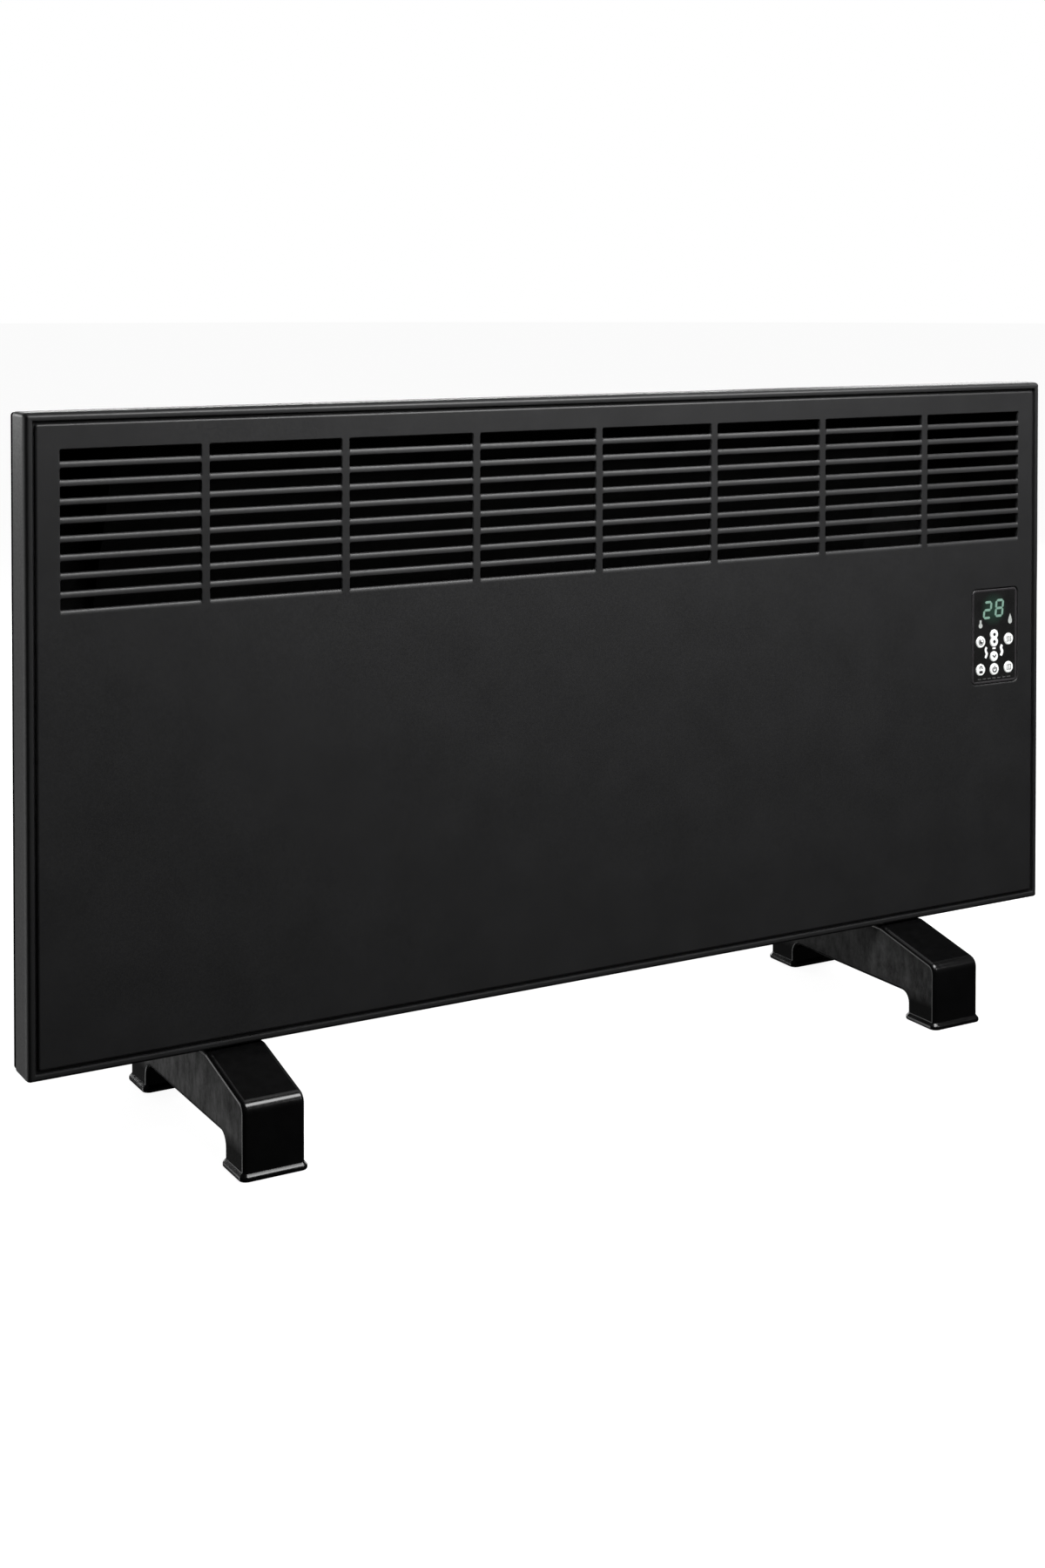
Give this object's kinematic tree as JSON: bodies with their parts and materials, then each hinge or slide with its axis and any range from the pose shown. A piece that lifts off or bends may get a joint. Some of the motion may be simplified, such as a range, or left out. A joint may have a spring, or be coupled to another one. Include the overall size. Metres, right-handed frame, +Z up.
{
  "type": "panel convector heater",
  "caption": "Flat black electric panel convector heater with slotted outlet grille, digital control overlay with round keys, and two arched feet.",
  "frame": {"origin": "on the floor, midway between the two feet and midway along their length", "axes": "+X to the right as the user sees the front, along the width; +Y from the front to the back, along the feet; +Z up"},
  "size_m": [0.9, 0.226, 0.5185],
  "materials": {
    "black_steel": "fine-textured black powder coat",
    "black_plastic": "moulded black plastic",
    "gloss_black": "polished black cover",
    "white_key": "white key cap",
    "rubber": "matt black rubber",
    "zinc_steel": "zinc plated",
    "aluminium": "extruded",
    "ceramic": "unglazed white ceramic",
    "board_green": "green solder mask",
    "dark_plastic": "moulded component body",
    "wire_jacket": "wire insulation"
  },
  "bodies": {
    "heater": {"front_panel": "black_steel", "front_frame": "black_steel", "rear_casing": "black_steel", "casing_screw_left_lower": "zinc_steel", "casing_screw_left_upper": "zinc_steel", "casing_screw_right_lower": "zinc_steel", "casing_screw_right_upper": "zinc_steel", "cable_gland": "black_plastic", "foot_left": "black_plastic", "foot_right": "black_plastic", "rubber_pad_left_front": "rubber", "rubber_pad_left_back": "rubber", "rubber_pad_right_front": "rubber", "rubber_pad_right_back": "rubber", "foot_screw_left_front": "zinc_steel", "foot_screw_left_back": "zinc_steel", "foot_screw_right_front": "zinc_steel", "foot_screw_right_back": "zinc_steel", "heating_element_lower": "aluminium", "heating_element_upper": "aluminium", "element_insulator_lower_left": "ceramic", "element_insulator_lower_right": "ceramic", "element_insulator_upper_left": "ceramic", "element_insulator_upper_right": "ceramic", "element_bracket_left": "zinc_steel", "element_bracket_right": "zinc_steel", "heat_shield": "zinc_steel", "thermal_cutout": "dark_plastic", "room_sensor": "dark_plastic", "control_overlay": "gloss_black", "digit_display": "dark_plastic", "display_board": "board_green", "control_box": "black_plastic", "power_board": "board_green", "relay_lower": "dark_plastic", "relay_upper": "dark_plastic", "transformer": "dark_plastic", "terminal_block": "dark_plastic", "power_switch_body": "black_plastic", "tip_switch_bracket": "zinc_steel", "tip_microswitch": "dark_plastic", "element_lead_upper": "wire_jacket", "element_lead_lower": "wire_jacket", "sensor_lead": "wire_jacket"},
    "up_key": {"up_key": "white_key"},
    "timer_key": {"timer_key": "white_key"},
    "mode_key": {"mode_key": "white_key"},
    "down_key": {"down_key": "white_key"},
    "lock_key": {"lock_key": "white_key"},
    "power_key": {"power_key": "white_key"},
    "window_key": {"window_key": "white_key"},
    "rocker": {"power_rocker": "black_plastic"},
    "pendulum": {"tip_switch_pendulum": "zinc_steel"}
  },
  "joints": [
    {"name": "up_key_press", "type": "slide", "parent": "heater", "child": "up_key", "axis": [0, 1, 0], "range_m": [0, 0.0004], "stiffness_N_per_m": 1500, "springref_m": -0.0002},
    {"name": "timer_key_press", "type": "slide", "parent": "heater", "child": "timer_key", "axis": [0, 1, 0], "range_m": [0, 0.0004], "stiffness_N_per_m": 1500, "springref_m": -0.0002},
    {"name": "mode_key_press", "type": "slide", "parent": "heater", "child": "mode_key", "axis": [0, 1, 0], "range_m": [0, 0.0004], "stiffness_N_per_m": 1500, "springref_m": -0.0002},
    {"name": "down_key_press", "type": "slide", "parent": "heater", "child": "down_key", "axis": [0, 1, 0], "range_m": [0, 0.0004], "stiffness_N_per_m": 1500, "springref_m": -0.0002},
    {"name": "lock_key_press", "type": "slide", "parent": "heater", "child": "lock_key", "axis": [0, 1, 0], "range_m": [0, 0.0004], "stiffness_N_per_m": 1500, "springref_m": -0.0002},
    {"name": "power_key_press", "type": "slide", "parent": "heater", "child": "power_key", "axis": [0, 1, 0], "range_m": [0, 0.0004], "stiffness_N_per_m": 1500, "springref_m": -0.0002},
    {"name": "window_key_press", "type": "slide", "parent": "heater", "child": "window_key", "axis": [0, 1, 0], "range_m": [0, 0.0004], "stiffness_N_per_m": 1500, "springref_m": -0.0002},
    {"name": "power_rocker_tip", "type": "hinge", "parent": "heater", "child": "rocker", "pos_m": [0.435, 0.014, 0.1285], "axis": [0, 1, 0], "range_deg": [0, 20]},
    {"name": "tip_pendulum_swing", "type": "hinge", "parent": "heater", "child": "pendulum", "pos_m": [0.396, 0.004, 0.1325], "axis": [1, 0, 0], "range_deg": [-20, 20]}
  ]
}
